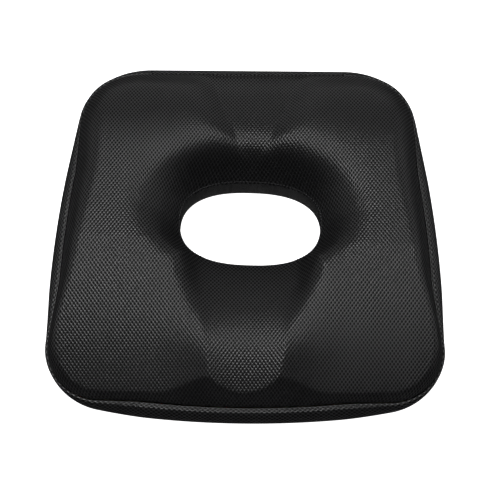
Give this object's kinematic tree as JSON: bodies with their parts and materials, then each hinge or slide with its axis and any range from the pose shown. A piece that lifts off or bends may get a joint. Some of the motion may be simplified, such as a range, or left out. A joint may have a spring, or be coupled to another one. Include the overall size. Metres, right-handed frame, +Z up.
{
  "type": "seat cushion",
  "caption": "Contoured seat cushion: moulded foam with a central oval hole, front pommel and tailbone recess in a black mesh cover, with a zip along the back",
  "frame": {"origin": "on the surface that the cushion lies on, under the middle of the whole object's box", "axes": "+Z up, -Y towards the front edge with the pommel, +Y towards the back edge with the zip, +X towards the sitter's left, which is to the right in a view along +Y"},
  "size_m": [0.4422, 0.4304, 0.084],
  "materials": {
    "air_mesh": "black polyester air mesh with rows of small open diamonds and a soft sheen",
    "lining_mesh": "finer black mesh, matt",
    "grip_cloth": "black woven cloth with small silicone grip dots",
    "memory_foam": null,
    "black_thread": "black polyester thread",
    "zip_tape": "black twill tape",
    "nylon_coil": "black nylon coil, satin",
    "zip_metal": "black enamelled zinc casting, satin"
  },
  "bodies": {
    "cushion": {"foam_core": "memory_foam", "cover_top_panel": "air_mesh", "cover_side_band": "air_mesh", "cover_back_strip_upper": "air_mesh", "cover_back_strip_lower": "air_mesh", "cover_hole_lining": "lining_mesh", "cover_bottom_panel": "grip_cloth", "top_seam_overlock": "black_thread", "bottom_seam_overlock": "black_thread", "hole_rim_overlock": "black_thread", "hole_foot_overlock": "black_thread", "hole_topstitch": "black_thread", "band_seam_left": "black_thread", "band_seam_right": "black_thread", "zip_tape_upper": "zip_tape", "zip_tape_lower": "zip_tape", "zip_stitch_upper": "black_thread", "zip_stitch_lower": "black_thread", "zip_coil_upper": "nylon_coil", "zip_coil_lower": "nylon_coil", "zip_stop_left": "zip_metal", "zip_stop_right": "zip_metal", "zip_end_tab_left": "air_mesh", "zip_end_tab_right": "air_mesh"},
    "zip_slider": {"zip_slider_body": "zip_metal"},
    "zip_pull": {"zip_pull_tab": "zip_metal"}
  },
  "joints": [
    {"name": "zip_slide", "type": "slide", "parent": "cushion", "child": "zip_slider", "axis": [-1, 0, 0], "range_m": [0, 0.1892]},
    {"name": "pull_hinge", "type": "hinge", "parent": "zip_slider", "child": "zip_pull", "pos_m": [0.09461, 0.21275, 0.025], "axis": [0, 0, -1], "range_deg": [0, 180]}
  ]
}
